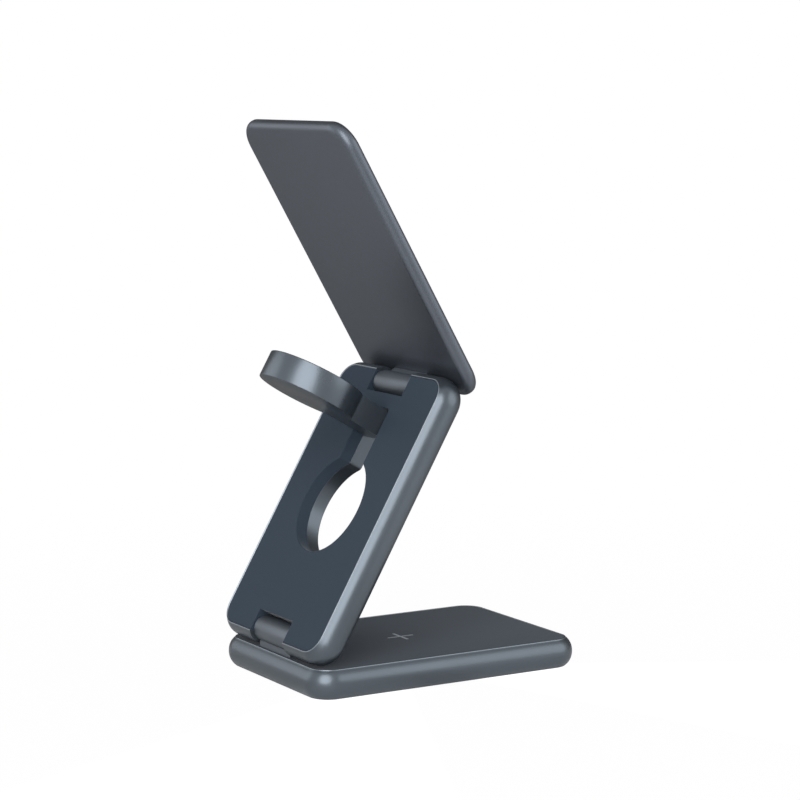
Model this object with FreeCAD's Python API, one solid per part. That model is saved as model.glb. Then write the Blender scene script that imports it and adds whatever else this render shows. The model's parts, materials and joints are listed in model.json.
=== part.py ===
"""Folding three in one wireless charger: base, leaning middle plate, phone plate and watch puck.

Every plate is drawn lying flat in its own frame, with X running from its hinge end (x = 0),
Y across and z = 0 on its middle plane. The place_ functions then stand it in the row frame:
X along the base, +Z up, origin in the middle of the foot pad's underside. Lengths are in
millimetres and angles in degrees.
"""
import FreeCAD
import Part
import math
import os
from FreeCAD import Vector

# The three plates share one outline and one way of rounding their edges.
plate_length = 100.0
plate_width = 67.0
plan_corner = 8.8
edge_inset = 2.2            # the flat faces stop this far short of the outline
edge_band = 0.4             # upright band at the middle of the rounded edge
plate_thickness = 9.4       # base and middle plate
phone_plate_thickness = 4.8

# How the plates are hinged and how they stand.
hinge_inset = 5.2           # hinge axis to the end of each plate
fold_gap = 1.1              # between two faces that fold together
stand_angle = 60.0          # middle plate above the table
phone_angle = 120.0         # phone plate, measured the same way round
foot_stand = 0.4            # the foot pad stands this far out of the base

# Shells and panels.
rim_width = 0.45            # metal lip left round each inset panel
rim_chamfer = 0.25          # bright cut on that lip
panel_thickness = 1.2
panel_drop = 0.12           # panel face below the lip
panel_gap = 0.05            # between a panel and its recess
panel_edge_round = 0.3      # broken edge of the middle panel round the keyhole
wall_inset = 3.6            # inside of the side walls, from the outline
floor_thickness = 1.2
plus_span = 9.6
plus_bar = 1.0
plus_depth = 0.12
foot_pad_margin = 1.3
foot_pad_recess = 0.5

# Keyhole in the middle plate, where the watch puck and its arm lie when stowed.
hole_radius = 17.0
slot_half_width = 7.55
slot_end_wall = 5.0         # between the slot's end and the upper hinge's notch
slot_corner = 0.6
throat_round = 1.5          # where the slot opens into the hole
keyhole_wall = 1.6
collar_wall = 1.2
collar_foot_z = 0.2         # the panel's collar lines the openings down to here
barrel_collar_foot_z = -1.0  # and down to here behind the hinge barrels

# Hinges of the plates: barrel on a neck, in a notch of the middle plate.
notch_depth = 10.0
notch_half_width = 11.1
notch_wall = 1.7
barrel_radius = 4.3
barrel_half_length = 10.8
barrel_end_round = 0.6
neck_thickness = 4.6
neck_half_width = 10.1
neck_clearance = 0.15
lug_foot_reach = 18.0       # end of the foot inside the base, from the hinge end
lug_foot_thickness = 2.2
lug_screw_inset = 3.2       # from the neck's side to the lug screws
phone_foot_reach = 17.0
phone_foot_thickness = 1.2
phone_screw_inset = 2.5
phone_screw_skin = 0.35     # metal left over the screws of the phone plate
shaft_radius = 1.25
shaft_inner_y = 3.0
shaft_collar_radius = 1.9
shaft_collar_length = 0.8
shaft_end_play = 0.2
pin_clearance = 0.03        # radial, round every pin and shaft
bracket_length = 10.0
bracket_side_gap = 0.3
bracket_height = 6.2
bracket_ear = 4.6
bracket_ear_thickness = 1.4
bracket_front_wall = 1.45   # metal of the bracket beyond the shaft's bore
bracket_back_wall = 1.65
bracket_slit = 0.5
bracket_round = 0.8
bracket_screw_spacing = 5.4

# Small screws.
screw_radius = 0.8
screw_head_radius = 1.5
screw_head_height = 0.7
screw_grip = 2.2
screw_end_gap = 0.2
screw_hole_gap = 0.1        # radial, round a screw in the part it holds
drive_length = 1.8
drive_width = 0.3
drive_depth = 0.3
post_radius = 2.0
post_edge = 0.6             # from a post to the edge of its board

# Watch puck on its arm.
slot_end_play = 0.6         # between the swung-out arm and the slot's end
puck_radius = 16.3
puck_thickness = 8.8
puck_edge_round = 0.3
arm_half_width = 7.2
watch_pin_radius = 1.0
watch_pin_bore = 0.45
watch_post_thickness = 3.0
watch_post_half_length = 3.0
watch_post_top = 2.9
watch_post_gap = 0.15       # between a post and the panel's collar
puck_back_wall = 1.1
puck_cup_radius = 13.4
watch_face_radius = 14.8
watch_face_thickness = 1.6
watch_face_sphere = 62.0    # hollow of the charging face, for a curved watch back
watch_face_lip = 1.4
watch_coil_outer = 10.5
watch_coil_inner = 5.0
watch_coil_thickness = 1.4
watch_ferrite_radius = 12.0
watch_ferrite_thickness = 0.8
watch_magnet_radius = 3.6
watch_magnet_height = 3.6
magnet_play = 0.3
puck_pedestal_radius = 8.0

# Earbud charging coil in the base.
earbud_coil_outer = 14.0
earbud_coil_inner = 6.0
earbud_coil_thickness = 1.1
earbud_ferrite_radius = 15.5
earbud_ferrite_thickness = 0.6
coil_gap = 0.15             # between a coil and the panel over it
coil_ring_wall = 1.5

# Base board and its socket.
board_thickness = 0.8
base_board_length = 24.8
board_side_gap = 5.9
board_edge_gap = 0.6
board_corner = 1.5
controller_side = 4.6
controller_height = 0.9
inductor_side = 4.8
inductor_height = 2.3
can_radius = 2.3
can_height = 2.8
small_part_length = 1.8
small_part_width = 1.1
small_part_height = 0.8
socket_width = 8.94
socket_height = 3.16
socket_wall = 0.3
socket_length = 7.3
socket_setback = 0.9
socket_mouth_gap = 0.15
tongue_width = 6.7
tongue_thickness = 0.7
tongue_length = 4.6
tongue_block = 1.9
tongue_play = 0.01

# Phone coil, magnets and board in the phone plate.
phone_coil_shift = 2.0      # from the middle of the plate towards its top
phone_wall = 1.1
magnet_side_gap = 1.9       # from the ring of magnets to the shell's walls
magnet_width = 4.8
magnet_thickness = 1.2
magnet_count = 18
magnet_gap_angle = 3.0
phone_ferrite_gap = 1.8
phone_ferrite_thickness = 0.4
phone_coil_margin = 0.8
phone_coil_width = 11.1
phone_coil_thickness = 0.9
phone_board_gap = 1.5
phone_board_end_gap = 2.9
phone_board_half_width = 16.0
phone_board_thickness = 0.6

# Watch driver board and the flat cable in the middle plate.
driver_board_end_gap = 2.5
driver_board_gap = 1.7      # from the watch pin's post to the board
driver_board_side_gap = 2.3
driver_board_lift = 1.2
cable_width = 5.0
cable_thickness = 0.3
cable_side_gap = 2.9
cable_end_gap = 1.0

over = 1.0                  # how far a cutting solid runs past what it cuts
merge = 0.1                 # how far two joined blocks run into each other

# Levels and radii that follow from the values above.
half_plate = plate_thickness / 2
half_phone = phone_plate_thickness / 2
panel_inset = edge_inset + rim_width
panel_top_z = half_plate - panel_drop
panel_under_z = panel_top_z - panel_thickness
cavity_floor_z = floor_thickness - half_plate
base_mid_z = foot_stand + half_plate
hole_x = plate_length / 2
slot_end_x = plate_length - notch_depth - slot_end_wall
watch_pivot_x = slot_end_x - slot_end_play - puck_thickness / 2
earbud_x = plate_length / 2
base_axis_z = plate_thickness + fold_gap          # above the base's middle plane
phone_axis_z = half_phone + fold_gap + half_plate
middle_top_axis_x = plate_length - hinge_inset
arm_reach = watch_pivot_x - hole_x
half_puck = puck_thickness / 2
neck_start_x = hinge_inset - neck_thickness / 2
neck_end_x = hinge_inset + neck_thickness / 2
bracket_start_y = notch_half_width + notch_wall + bracket_side_gap
bracket_end_y = bracket_start_y + bracket_length
shaft_end_y = bracket_end_y + shaft_end_play
ear_under_z = -bracket_ear_thickness / 2
phone_panel_under_z = panel_thickness + panel_drop - half_phone
phone_back_z = half_phone - phone_wall


def box(x0, x1, y0, y1, z0, z1):
    """Block between two corners."""
    return Part.makeBox(x1 - x0, y1 - y0, z1 - z0, Vector(x0, y0, z0))


def disc(radius, z0, z1, x=0.0, y=0.0):
    """Upright cylinder."""
    return Part.makeCylinder(radius, z1 - z0, Vector(x, y, z0), Vector(0, 0, 1))


def ring(outer, inner, z0, z1, x=0.0, y=0.0):
    """Upright ring."""
    return disc(outer, z0, z1, x, y).cut(disc(inner, z0 - over, z1 + over, x, y))


def bar_y(radius, y0, y1, x, z):
    """Round bar along Y."""
    return Part.makeCylinder(radius, y1 - y0, Vector(x, y0, z), Vector(0, 1, 0))


def rounded_wire(x0, x1, half_width, radius, z):
    """Rounded rectangle, symmetric about y = 0."""
    mid = radius * math.sqrt(0.5)
    corners = (
        (x1 - radius, half_width - radius, 1, 1),
        (x0 + radius, half_width - radius, -1, 1),
        (x0 + radius, radius - half_width, -1, -1),
        (x1 - radius, radius - half_width, 1, -1),
    )
    arcs = []
    for cx, cy, sx, sy in corners:
        along_x = Vector(cx + sx * radius, cy, z)
        along_y = Vector(cx, cy + sy * radius, z)
        middle = Vector(cx + sx * mid, cy + sy * mid, z)
        if sx == sy:
            arcs.append((along_x, middle, along_y))
        else:
            arcs.append((along_y, middle, along_x))
    edges = []
    for i, arc in enumerate(arcs):
        edges.append(Part.Arc(*arc).toShape())
        edges.append(Part.makeLine(arc[2], arcs[(i + 1) % 4][0]))
    return Part.Wire(edges)


def rounded_plate(x0, x1, half_width, radius, z0, z1):
    """Plate with a rounded rectangle as its outline."""
    face = Part.Face(rounded_wire(x0, x1, half_width, radius, z0))
    return face.extrude(Vector(0, 0, z1 - z0))


def inset_wire(inset, z):
    """The plates' outline, moved inwards."""
    return rounded_wire(inset, plate_length - inset, plate_width / 2 - inset, plan_corner - inset, z)


def inset_plate(inset, z0, z1):
    """Solid of the plates' outline, moved inwards."""
    return Part.Face(inset_wire(inset, z0)).extrude(Vector(0, 0, z1 - z0))


def soft_edged_plate(thickness):
    """Whole plate with arched sides, cut off flat where the faces begin."""
    rise = thickness / 2 - edge_band / 2
    radius = (edge_inset ** 2 + rise ** 2) / (2 * edge_inset)
    half = radius + edge_band / 2
    block = inset_plate(0.0, -half, half)
    rims = [e for e in block.Edges if abs(e.BoundBox.ZMax - e.BoundBox.ZMin) < 1e-6]
    arched = block.makeFillet(radius * 0.9999, rims)
    reach = plate_width
    slab = box(-over, plate_length + over, -reach, reach, -thickness / 2, thickness / 2)
    return arched.common(slab)


def rim_cut(top_z, direction):
    """Recess for a panel with the bright chamfer round its mouth; direction is +1 or -1 along Z."""
    low = top_z - direction * (panel_drop + panel_thickness)
    mouth = top_z - direction * rim_chamfer
    recess = inset_plate(panel_inset, min(low, mouth), max(low, mouth))
    lower = inset_wire(panel_inset, mouth)
    upper = inset_wire(panel_inset - rim_chamfer, top_z)
    bevel = Part.makeLoft([lower, upper], True)
    return recess.fuse(bevel)


def keyhole(offset, z0, z1):
    """Hole for the puck joined to the slot for its arm, grown by an offset."""
    hole = disc(hole_radius + offset, z0, z1, hole_x)
    slot = rounded_plate(
        hole_x,
        slot_end_x + offset,
        slot_half_width + offset,
        slot_corner + offset,
        z0,
        z1,
    )
    opening = hole.fuse(slot).removeSplitter()
    if offset > throat_round / 2:
        return opening
    half = slot_half_width + offset
    throat_x = hole_x + math.sqrt((hole_radius + offset) ** 2 - half ** 2)
    throat = []
    for edge in opening.Edges:
        middle = edge.BoundBox.Center
        upright = edge.BoundBox.ZLength > (z1 - z0) / 2
        if upright and abs(middle.x - throat_x) < 0.01 and abs(abs(middle.y) - half) < 0.01:
            throat.append(edge)
    return opening.makeFillet(throat_round - offset, throat)


def notch(end, offset, z0, z1):
    """Space for a hinge barrel at the start (end 0) or far end (end 1) of the middle plate."""
    reach = notch_depth + offset
    half = notch_half_width + offset
    if end == 0:
        return box(-over, reach, -half, half, z0, z1)
    return box(plate_length - reach, plate_length + over, -half, half, z0, z1)


def notch_end(end, gap, top_z):
    """Collar along the inner end of a notch, behind the hinge barrel."""
    half = notch_half_width + gap
    low = barrel_collar_foot_z - gap
    lining = box(notch_depth - merge, notch_depth + collar_wall + gap, -half, half, low, top_z)
    return lining if end == 0 else flip_x(lining)


def mirror_y(shape):
    """The same shape on the other side of the plate."""
    return shape.mirror(Vector(0, 0, 0), Vector(0, 1, 0))


def flip_x(shape):
    """Turn a shape drawn at the plate's start round to its far end."""
    return shape.mirror(Vector(plate_length / 2, 0, 0), Vector(1, 0, 0))


def both_sides(shape):
    """A shape and its mirror image as separate solids."""
    return Part.makeCompound([shape, mirror_y(shape)])


def screw(x, y, seat_z, length, up=1):
    """Pan head screw; its head sits on seat_z and its shank runs the other way."""
    if up > 0:
        shank = disc(screw_radius, seat_z - length, seat_z, x, y)
        head = disc(screw_head_radius, seat_z, seat_z + screw_head_height, x, y)
    else:
        shank = disc(screw_radius, seat_z, seat_z + length, x, y)
        head = disc(screw_head_radius, seat_z - screw_head_height, seat_z, x, y)
    outer = [e for e in head.Edges if abs(e.BoundBox.ZMax - e.BoundBox.ZMin) < 1e-6]
    crown_z = seat_z + up * screw_head_height
    crown = [e for e in outer if abs(e.BoundBox.ZMax - crown_z) < 1e-6]
    head = head.makeFillet(screw_head_height * 0.5, crown)
    drive = box(
        x - drive_length / 2,
        x + drive_length / 2,
        y - drive_width / 2,
        y + drive_width / 2,
        crown_z - drive_depth,
        crown_z + drive_depth,
    )
    return shank.fuse(head).cut(drive)


# Base

lug_screw_xs = (neck_end_x + lug_screw_inset, lug_foot_reach - lug_screw_inset)
lug_screw_y = neck_half_width - lug_screw_inset
lug_foot_under_z = -lug_foot_thickness / 2
earbud_ferrite_top = panel_under_z - coil_gap - earbud_coil_thickness
earbud_ferrite_under = earbud_ferrite_top - earbud_ferrite_thickness
socket_mid_z = 0.0
base_board_top = socket_mid_z - socket_height / 2
base_board_under = base_board_top - board_thickness
base_board_end = plate_length - wall_inset - board_edge_gap
base_board_x = base_board_end - base_board_length
base_board_half_width = plate_width / 2 - wall_inset - board_side_gap
base_board_mid_x = (base_board_x + base_board_end) / 2
base_board_posts = [
    (x, side * (base_board_half_width - post_radius - post_edge))
    for x in (base_board_x + post_radius + post_edge, base_board_end - post_radius - post_edge)
    for side in (-1, 1)
]


def stadium(width, height, x0, x1, z):
    """Bar along X with a section of two half rounds joined by flats."""
    half = (width - height) / 2
    core = box(x0, x1, -half, half, z - height / 2, z + height / 2)
    for side in (-1, 1):
        end = Part.makeCylinder(height / 2, x1 - x0, Vector(x0, side * half, z), Vector(1, 0, 0))
        core = core.fuse(end)
    return core.removeSplitter()


def neck_pocket():
    """Opening in the base's wall and ledge where the hinge neck comes up."""
    half = neck_half_width + neck_clearance
    return box(
        neck_start_x - neck_clearance,
        wall_inset + over,
        -half,
        half,
        lug_foot_under_z - neck_clearance,
        half_plate + over,
    )


def base_frame():
    """Metal tray with arched sides, the panel's recess, bosses, socket mouth and foot recess."""
    body = soft_edged_plate(plate_thickness)
    body = body.cut(rim_cut(half_plate, 1))
    cavity = inset_plate(wall_inset, cavity_floor_z, panel_under_z + over)
    body = body.cut(cavity)
    body = body.cut(neck_pocket())
    solids = []
    for x in lug_screw_xs:
        for side in (-1, 1):
            y = side * lug_screw_y
            solids.append(disc(post_radius, cavity_floor_z - merge, lug_foot_under_z, x, y))
    solids.append(
        ring(
            earbud_coil_outer,
            earbud_coil_outer - coil_ring_wall,
            cavity_floor_z - merge,
            earbud_ferrite_under,
            earbud_x,
        )
    )
    for x, y in base_board_posts:
        solids.append(disc(post_radius, cavity_floor_z - merge, base_board_under, x, y))
    body = body.fuse(solids)
    for x in lug_screw_xs:
        for side in (-1, 1):
            y = side * lug_screw_y
            body = body.cut(disc(screw_radius, lug_foot_under_z - screw_grip, lug_foot_under_z, x, y))
    for x, y in base_board_posts:
        body = body.cut(disc(screw_radius, cavity_floor_z, base_board_under, x, y))
    mouth = stadium(
        socket_width + 2 * socket_mouth_gap,
        socket_height + 2 * socket_mouth_gap,
        plate_length - wall_inset - over,
        plate_length + over,
        socket_mid_z,
    )
    body = body.cut(mouth)
    foot = inset_plate(edge_inset + foot_pad_margin, -half_plate - over, foot_pad_recess - half_plate)
    return body.cut(foot).removeSplitter()


def base_top_panel():
    """Soft dark panel in the base, with the shallow plus that marks the charging spot."""
    panel = inset_plate(panel_inset + panel_gap, panel_under_z, panel_top_z)
    half = neck_half_width + neck_clearance
    gap = box(0.0, neck_end_x + neck_clearance, -half, half, panel_under_z - over, panel_top_z + over)
    panel = panel.cut(gap)
    arm = plus_span / 2
    bar = plus_bar / 2
    groove_z = panel_top_z - plus_depth
    along = box(earbud_x - arm, earbud_x + arm, -bar, bar, groove_z, panel_top_z + over)
    across = box(earbud_x - bar, earbud_x + bar, -arm, arm, groove_z, panel_top_z + over)
    return panel.cut(along.fuse(across))


def base_foot_pad():
    """Thin grippy pad let into the underside."""
    inset = edge_inset + foot_pad_margin + panel_gap
    pad = inset_plate(inset, -half_plate - foot_stand, foot_pad_recess - half_plate)
    low = [e for e in pad.Edges if e.BoundBox.ZMax < -half_plate]
    return pad.makeFillet(foot_stand / 2, low)


def barrel(axis_z):
    """Hinge barrel with rounded ends, bored from both ends for the shafts."""
    body = bar_y(barrel_radius, -barrel_half_length, barrel_half_length, hinge_inset, axis_z)
    rims = [e for e in body.Edges if e.BoundBox.YMax - e.BoundBox.YMin < 1e-6]
    return body.makeFillet(barrel_end_round, rims)


def shaft_bores(axis_z):
    """Two blind bores in a barrel."""
    one = bar_y(
        shaft_radius + pin_clearance,
        shaft_inner_y - pin_clearance,
        barrel_half_length + over,
        hinge_inset,
        axis_z,
    )
    return one.fuse(mirror_y(one))


def base_hinge_lug():
    """Cast lug of the base: foot inside the tray, neck through the panel, barrel on top."""
    foot = box(
        neck_start_x,
        lug_foot_reach,
        -neck_half_width,
        neck_half_width,
        lug_foot_under_z,
        lug_foot_under_z + lug_foot_thickness,
    )
    neck = box(
        neck_start_x,
        neck_end_x,
        -neck_half_width,
        neck_half_width,
        lug_foot_under_z,
        base_axis_z,
    )
    lug = foot.fuse(neck).fuse(barrel(base_axis_z)).cut(shaft_bores(base_axis_z))
    for x in lug_screw_xs:
        for side in (-1, 1):
            y = side * lug_screw_y
            lug = lug.cut(disc(screw_radius + screw_hole_gap, -half_plate, half_plate, x, y))
    return lug.removeSplitter()


def base_lug_screws():
    """Four screws that hold the lug's foot to the tray."""
    seat = lug_foot_under_z + lug_foot_thickness
    length = lug_foot_thickness + screw_grip - screw_end_gap
    return Part.makeCompound([
        screw(x, side * lug_screw_y, seat, length)
        for x in lug_screw_xs
        for side in (-1, 1)
    ])


def hinge_shafts(axis_z):
    """Pair of steel shafts, from the barrel out through the plate's cheeks into the brackets."""
    shaft = bar_y(shaft_radius, shaft_inner_y, shaft_end_y, hinge_inset, axis_z)
    collar_end_y = shaft_end_y + shaft_collar_length
    collar = bar_y(shaft_collar_radius, shaft_end_y, collar_end_y, hinge_inset, axis_z)
    return both_sides(shaft.fuse(collar))


def base_hinge_shafts():
    """Shafts of the lower hinge."""
    return hinge_shafts(base_axis_z)


def earbud_coil():
    """Flat wound coil under the plus mark."""
    return ring(
        earbud_coil_outer,
        earbud_coil_inner,
        earbud_ferrite_top,
        earbud_ferrite_top + earbud_coil_thickness,
        earbud_x,
    )


def earbud_ferrite():
    """Ferrite sheet under the earbud coil."""
    return disc(earbud_ferrite_radius, earbud_ferrite_under, earbud_ferrite_top, earbud_x)


def base_circuit_board():
    """Main board on four posts, with the socket at its edge."""
    board = rounded_plate(
        base_board_x,
        base_board_end,
        base_board_half_width,
        board_corner,
        base_board_under,
        base_board_top,
    )
    for x, y in base_board_posts:
        board = board.cut(disc(screw_radius + screw_hole_gap, -half_plate, half_plate, x, y))
    return board


def base_board_screws():
    """Four screws of the main board."""
    length = base_board_top - cavity_floor_z - screw_end_gap
    return Part.makeCompound([screw(x, y, base_board_top, length) for x, y in base_board_posts])


def on_board(x, y, face_z, length, width, height):
    """Block soldered on a board; a negative height stands it on the board's underside."""
    low = min(face_z, face_z + height)
    high = max(face_z, face_z + height)
    return box(x - length / 2, x + length / 2, y - width / 2, y + width / 2, low, high)


def controller(x, y, face_z, up=1):
    """Flat square controller chip."""
    return on_board(x, y, face_z, controller_side, controller_side, up * controller_height)


def inductor(x, y, face_z):
    """Moulded square inductor with chamfered upright edges."""
    block = on_board(x, y, face_z, inductor_side, inductor_side, inductor_height)
    upright = [e for e in block.Edges if e.BoundBox.ZLength > inductor_height / 2]
    return block.makeChamfer(inductor_side / 8, upright)


def small_part(x, y, face_z, up=1):
    """Small ceramic capacitor or resistor."""
    return on_board(x, y, face_z, small_part_length, small_part_width, up * small_part_height)


def base_board_parts():
    """Two controllers, an inductor, two cans and small parts on the main board."""
    face = base_board_top
    inner_x = base_board_mid_x - base_board_length / 6
    outer_x = base_board_mid_x + base_board_length / 8
    step_y = base_board_half_width / 4
    return Part.makeCompound([
        controller(inner_x, step_y, face),
        controller(inner_x, -step_y, face),
        inductor(outer_x, 2 * step_y, face),
        disc(can_radius, face, face + can_height, outer_x, -2 * step_y),
        disc(can_radius, face, face + can_height, inner_x, -3 * step_y),
        small_part(inner_x, 0.0, face),
        small_part(inner_x, 2.2 * step_y, face),
    ])


def usb_c_shell():
    """Drawn steel shell of the power socket."""
    end = plate_length - socket_setback
    start = end - socket_length
    outer = stadium(socket_width, socket_height, start, end, socket_mid_z)
    inner = stadium(
        socket_width - 2 * socket_wall,
        socket_height - 2 * socket_wall,
        start - over,
        end + over,
        socket_mid_z,
    )
    return outer.cut(inner)


def usb_c_tongue():
    """Moulded insulator that closes the shell's back and carries the contact tongue."""
    start = plate_length - socket_setback - socket_length
    block = stadium(
        socket_width - 2 * (socket_wall + tongue_play),
        socket_height - 2 * (socket_wall + tongue_play),
        start,
        start + tongue_block,
        socket_mid_z,
    )
    tongue = box(
        start + tongue_block - merge,
        start + tongue_block + tongue_length,
        -tongue_width / 2,
        tongue_width / 2,
        socket_mid_z - tongue_thickness / 2,
        socket_mid_z + tongue_thickness / 2,
    )
    return block.fuse(tongue)


# Middle plate

bracket_start_x = hinge_inset - shaft_radius - pin_clearance - bracket_front_wall
ear_start_x = hinge_inset + shaft_radius + pin_clearance + bracket_back_wall
ear_screw_x = ear_start_x + bracket_ear / 2
bracket_screw_ys = (
    bracket_start_y + (bracket_length - bracket_screw_spacing) / 2,
    bracket_start_y + (bracket_length + bracket_screw_spacing) / 2,
)
watch_post_start_y = slot_half_width + collar_wall + watch_post_gap
watch_post_end_y = watch_post_start_y + watch_post_thickness
driver_board_x = hole_x + hole_radius
driver_board_end = plate_length - notch_depth - notch_wall - driver_board_end_gap
driver_board_inner_y = watch_post_end_y + driver_board_gap
driver_board_outer_y = plate_width / 2 - wall_inset - driver_board_side_gap
driver_board_under = cavity_floor_z + driver_board_lift
driver_board_top = driver_board_under + board_thickness
driver_post_y = post_radius + post_edge - driver_board_outer_y
driver_post_xs = (driver_board_x + post_radius + post_edge, driver_board_end - post_radius - post_edge)
cable_y = plate_width / 2 - wall_inset - cable_side_gap - cable_width / 2


def bracket_pocket():
    """Room for one hinge bracket, let into the end wall of the middle plate."""
    return box(
        bracket_start_x - bracket_side_gap,
        wall_inset + over,
        bracket_start_y - bracket_side_gap,
        shaft_end_y + shaft_collar_length + bracket_side_gap,
        cavity_floor_z,
        panel_under_z + over,
    )


def middle_posts():
    """Posts on the middle plate's floor for the hinge brackets."""
    posts = []
    for y in bracket_screw_ys:
        post = disc(post_radius, cavity_floor_z - merge, ear_under_z, ear_screw_x, y)
        posts += [post, mirror_y(post), flip_x(post), flip_x(mirror_y(post))]
    return posts


def watch_post():
    """Post that holds one end of the watch pin."""
    return box(
        watch_pivot_x - watch_post_half_length,
        watch_pivot_x + watch_post_half_length,
        watch_post_start_y,
        watch_post_end_y,
        cavity_floor_z - merge,
        watch_post_top,
    )


def collar_space(gap):
    """Space of the panel's collars round the keyhole and both notches, grown by a gap."""
    foot_z = collar_foot_z - gap
    top_z = panel_under_z + merge
    space = keyhole(collar_wall + gap, foot_z, top_z)
    for end in (0, 1):
        space = space.fuse(notch(end, collar_wall + gap, foot_z, top_z))
        space = space.fuse(notch_end(end, gap, top_z))
    foot_z = barrel_collar_foot_z - gap
    return space.common(inset_plate(panel_inset + panel_gap - gap, foot_z, top_z))


def middle_frame():
    """Metal plate with the keyhole, two hinge notches, walls and posts for all it carries."""
    body = soft_edged_plate(plate_thickness)
    body = body.cut(rim_cut(half_plate, 1))
    cavity = inset_plate(wall_inset, cavity_floor_z, panel_under_z + over)
    cavity = cavity.cut(keyhole(keyhole_wall, cavity_floor_z - over, half_plate + over))
    for end in (0, 1):
        cavity = cavity.cut(notch(end, notch_wall, cavity_floor_z - over, half_plate + over))
    body = body.cut(cavity)
    pocket = bracket_pocket()
    for one in (pocket, mirror_y(pocket), flip_x(pocket), flip_x(mirror_y(pocket))):
        body = body.cut(one)
    body = body.fuse(middle_posts())
    post = watch_post()
    body = body.fuse([post, mirror_y(post)])
    body = body.fuse([disc(post_radius, cavity_floor_z - merge, driver_board_under, x, driver_post_y)
                      for x in driver_post_xs])
    body = body.cut(collar_space(panel_gap).cut(post.fuse(mirror_y(post))))
    body = body.cut(keyhole(0.0, -half_plate - over, half_plate + over))
    for end in (0, 1):
        body = body.cut(notch(end, 0.0, -half_plate - over, half_plate + over))
    for x in (hinge_inset, middle_top_axis_x):
        bore = bar_y(shaft_radius + 2 * pin_clearance, notch_half_width - over, bracket_start_y, x, 0.0)
        body = body.cut(bore).cut(mirror_y(bore))
    for y in bracket_screw_ys:
        hole = disc(screw_radius, cavity_floor_z, ear_under_z, ear_screw_x, y)
        for one in (hole, mirror_y(hole), flip_x(hole), flip_x(mirror_y(hole))):
            body = body.cut(one)
    for x in driver_post_xs:
        body = body.cut(disc(screw_radius, cavity_floor_z, driver_board_under, x, driver_post_y))
    pin_reach = watch_post_end_y + over
    pin = bar_y(watch_pin_radius + pin_clearance, -pin_reach, pin_reach, watch_pivot_x, 0.0)
    return body.cut(pin).removeSplitter()


def middle_front_panel():
    """Dark panel of the middle plate, with collars that line the keyhole and the notches."""
    panel = inset_plate(panel_inset + panel_gap, panel_under_z, panel_top_z)
    panel = panel.fuse(collar_space(0.0))
    panel = panel.cut(keyhole(0.0, -over, half_plate + over))
    mouth = []
    for edge in panel.Edges:
        bounds = edge.BoundBox
        on_face = abs(bounds.ZMin - panel_top_z) < 1e-6 and abs(bounds.ZMax - panel_top_z) < 1e-6
        if on_face and bounds.XMin > notch_depth and bounds.XMax < slot_end_x + over:
            mouth.append(edge)
    panel = panel.makeFillet(panel_edge_round, mouth)
    for end in (0, 1):
        panel = panel.cut(notch(end, 0.0, -half_plate, half_plate + over))
    for x in (hinge_inset, middle_top_axis_x):
        reach = notch_half_width + notch_wall
        groove = shaft_radius + 2 * pin_clearance
        panel = panel.cut(box(x - groove, x + groove, -reach, reach, -over, groove))
    groove = watch_pin_radius + 2 * pin_clearance
    reach = watch_post_start_y
    relief = box(watch_pivot_x - groove, watch_pivot_x + groove, -reach, reach, -over, groove)
    return panel.cut(relief).removeSplitter()


def hinge_bracket():
    """Split friction bracket that grips one shaft, drawn at the plate's start on the +Y side."""
    half = bracket_height / 2
    block = box(bracket_start_x, ear_start_x, bracket_start_y, bracket_end_y, -half, half)
    long_edges = [e for e in block.Edges if e.BoundBox.YLength > bracket_length / 2 and e.BoundBox.ZMin > 0]
    block = block.makeFillet(bracket_round, long_edges)
    ear = box(
        ear_start_x - merge,
        ear_start_x + bracket_ear,
        bracket_start_y,
        bracket_end_y,
        ear_under_z,
        -ear_under_z,
    )
    body = block.fuse(ear)
    body = body.cut(bar_y(shaft_radius + pin_clearance, 0.0, bracket_end_y + over, hinge_inset, 0.0))
    slit = bracket_slit / 2
    body = body.cut(
        box(hinge_inset - slit, hinge_inset + slit, 0.0, bracket_end_y + over, 0.0, half + over)
    )
    for y in bracket_screw_ys:
        body = body.cut(disc(screw_radius + screw_hole_gap, -half, half, ear_screw_x, y))
    return body.removeSplitter()


def bracket_screws():
    """Two screws of one bracket."""
    seat = -ear_under_z
    length = bracket_ear_thickness + screw_grip - screw_end_gap
    return [screw(ear_screw_x, y, seat, length) for y in bracket_screw_ys]


def lower_hinge_brackets():
    """Pair of friction brackets at the base hinge."""
    return both_sides(hinge_bracket())


def upper_hinge_brackets():
    """Pair of friction brackets at the phone plate's hinge."""
    return flip_x(both_sides(hinge_bracket()))


def lower_bracket_screws():
    """Four screws of the lower brackets."""
    one_side = bracket_screws()
    return Part.makeCompound(one_side + [mirror_y(s) for s in one_side])


def upper_bracket_screws():
    """Four screws of the upper brackets."""
    return flip_x(lower_bracket_screws())


def watch_hinge_pin():
    """Hollow pin through the arm's knuckle, with the puck's wires inside."""
    reach = watch_post_end_y
    pin = bar_y(watch_pin_radius, -reach, reach, watch_pivot_x, 0.0)
    return pin.cut(bar_y(watch_pin_bore, -reach - over, reach + over, watch_pivot_x, 0.0))


def middle_flat_cable():
    """Flat cable along one side of the keyhole, from hinge to hinge."""
    start = ear_start_x + bracket_ear + cable_end_gap
    end = plate_length - start
    return box(
        start,
        end,
        cable_y - cable_width / 2,
        cable_y + cable_width / 2,
        cavity_floor_z,
        cavity_floor_z + cable_thickness,
    )


def watch_driver_board():
    """Small board that drives the watch coil."""
    board = box(
        driver_board_x,
        driver_board_end,
        -driver_board_outer_y,
        -driver_board_inner_y,
        driver_board_under,
        driver_board_top,
    )
    for x in driver_post_xs:
        board = board.cut(disc(screw_radius + screw_hole_gap, -half_plate, half_plate, x, driver_post_y))
    return board


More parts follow.
